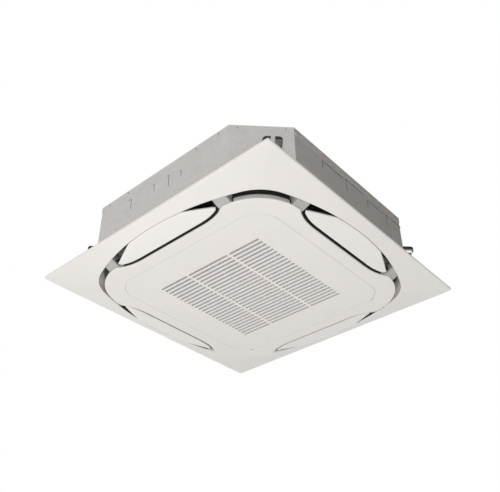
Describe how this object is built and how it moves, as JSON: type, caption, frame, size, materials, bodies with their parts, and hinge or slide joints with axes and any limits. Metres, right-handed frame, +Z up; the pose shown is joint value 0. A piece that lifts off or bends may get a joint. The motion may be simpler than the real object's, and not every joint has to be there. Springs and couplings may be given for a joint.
{
  "type": "ceiling cassette air conditioner",
  "caption": "Square ceiling air conditioner: white panel with swinging air flaps round a hinged suction grille, below a galvanised casing with fan, coil and drain pan.",
  "frame": {"origin": "middle of the ceiling opening, in the ceiling plane (the upper face of the panel's rim)", "axes": "+Z up into the ceiling; the grille's slots run along Y, it hinges on the +X side, and the pipes leave on the +X side"},
  "size_m": [0.95, 0.95, 0.252],
  "materials": {
    "galvanised_steel": "spangled, satin",
    "zinc_steel": "bright zinc plated",
    "copper": "drawn copper",
    "brass": "machined",
    "fins": "bare fins",
    "motor_housing": "die cast",
    "panel_plastic": "smooth satin",
    "flap_plastic": "smooth satin",
    "support_plastic": "satin",
    "natural_plastic": "satin",
    "black_plastic": "matt",
    "board": "satin",
    "foam": "matt foam",
    "pan_foam": "skinned foam",
    "seal_foam": "matt foam",
    "filter_net": "fine net",
    "rubber": "matt"
  },
  "bodies": {
    "unit": {"casing_shell": "galvanised_steel", "top_plate": "galvanised_steel", "wall_insulation": "foam", "top_insulation": "foam", "panel_outer_frame": "panel_plastic", "panel_inner_frame": "panel_plastic", "panel_gasket": "seal_foam", "grille_clip_1": "zinc_steel", "grille_clip_2": "zinc_steel", "drain_pan": "pan_foam", "drain_plug": "rubber", "heat_exchanger": "fins", "tube_sheet_1": "galvanised_steel", "tube_sheet_2": "galvanised_steel", "corner_partition": "galvanised_steel", "coil_header": "copper", "gas_pipe": "copper", "liquid_pipe": "copper", "gas_flare_nut": "brass", "liquid_flare_nut": "brass", "pipe_plate": "galvanised_steel", "drain_pump": "natural_plastic", "drain_hose": "rubber", "drain_socket": "natural_plastic", "float_stem": "natural_plastic", "bell_mouth": "black_plastic", "fan_motor": "motor_housing", "motor_bracket": "galvanised_steel", "control_box": "galvanised_steel", "control_box_lid": "galvanised_steel", "circuit_board": "board", "room_air_sensor": "natural_plastic", "hanger_bracket_1": "zinc_steel", "flap_support_1_free": "support_plastic", "flap_support_1_motor": "support_plastic", "swing_motor_1": "natural_plastic", "hanger_bracket_2": "zinc_steel", "flap_support_2_free": "support_plastic", "flap_support_2_motor": "support_plastic", "swing_motor_2": "natural_plastic", "hanger_bracket_3": "zinc_steel", "flap_support_3_free": "support_plastic", "flap_support_3_motor": "support_plastic", "swing_motor_3": "natural_plastic", "hanger_bracket_4": "zinc_steel", "flap_support_4_free": "support_plastic", "flap_support_4_motor": "support_plastic", "swing_motor_4": "natural_plastic"},
    "fan": {"fan_impeller": "black_plastic", "motor_shaft": "zinc_steel", "fan_nut": "zinc_steel"},
    "float": {"float": "natural_plastic"},
    "grille": {"suction_grille": "panel_plastic", "air_filter": "filter_net", "grille_hinge_pin_1": "zinc_steel", "grille_hinge_pin_2": "zinc_steel"},
    "flap_1": {"flap_1": "flap_plastic"},
    "flap_2": {"flap_2": "flap_plastic"},
    "flap_3": {"flap_3": "flap_plastic"},
    "flap_4": {"flap_4": "flap_plastic"}
  },
  "joints": [
    {"name": "flap_1_swing", "type": "hinge", "parent": "unit", "child": "flap_1", "pos_m": [0.388, 0, -0.016], "axis": [0, 1, 0], "range_deg": [0, 55]},
    {"name": "flap_2_swing", "type": "hinge", "parent": "unit", "child": "flap_2", "pos_m": [0, 0.388, -0.016], "axis": [-1, 0, 0], "range_deg": [0, 55]},
    {"name": "flap_3_swing", "type": "hinge", "parent": "unit", "child": "flap_3", "pos_m": [-0.388, 0, -0.016], "axis": [0, -1, 0], "range_deg": [0, 55]},
    {"name": "flap_4_swing", "type": "hinge", "parent": "unit", "child": "flap_4", "pos_m": [0, -0.388, -0.016], "axis": [1, 0, 0], "range_deg": [0, 55]},
    {"name": "grille_swing", "type": "hinge", "parent": "unit", "child": "grille", "pos_m": [0.3045, 0, -0.033], "axis": [0, -1, 0], "range_deg": [0, 90]},
    {"name": "fan_spin", "type": "hinge", "parent": "unit", "child": "fan", "pos_m": [0, 0, 0.138], "axis": [0, 0, 1], "continuous": true},
    {"name": "float_rise", "type": "slide", "parent": "unit", "child": "float", "axis": [0, 0, 1], "range_m": [0, 0.016]}
  ]
}
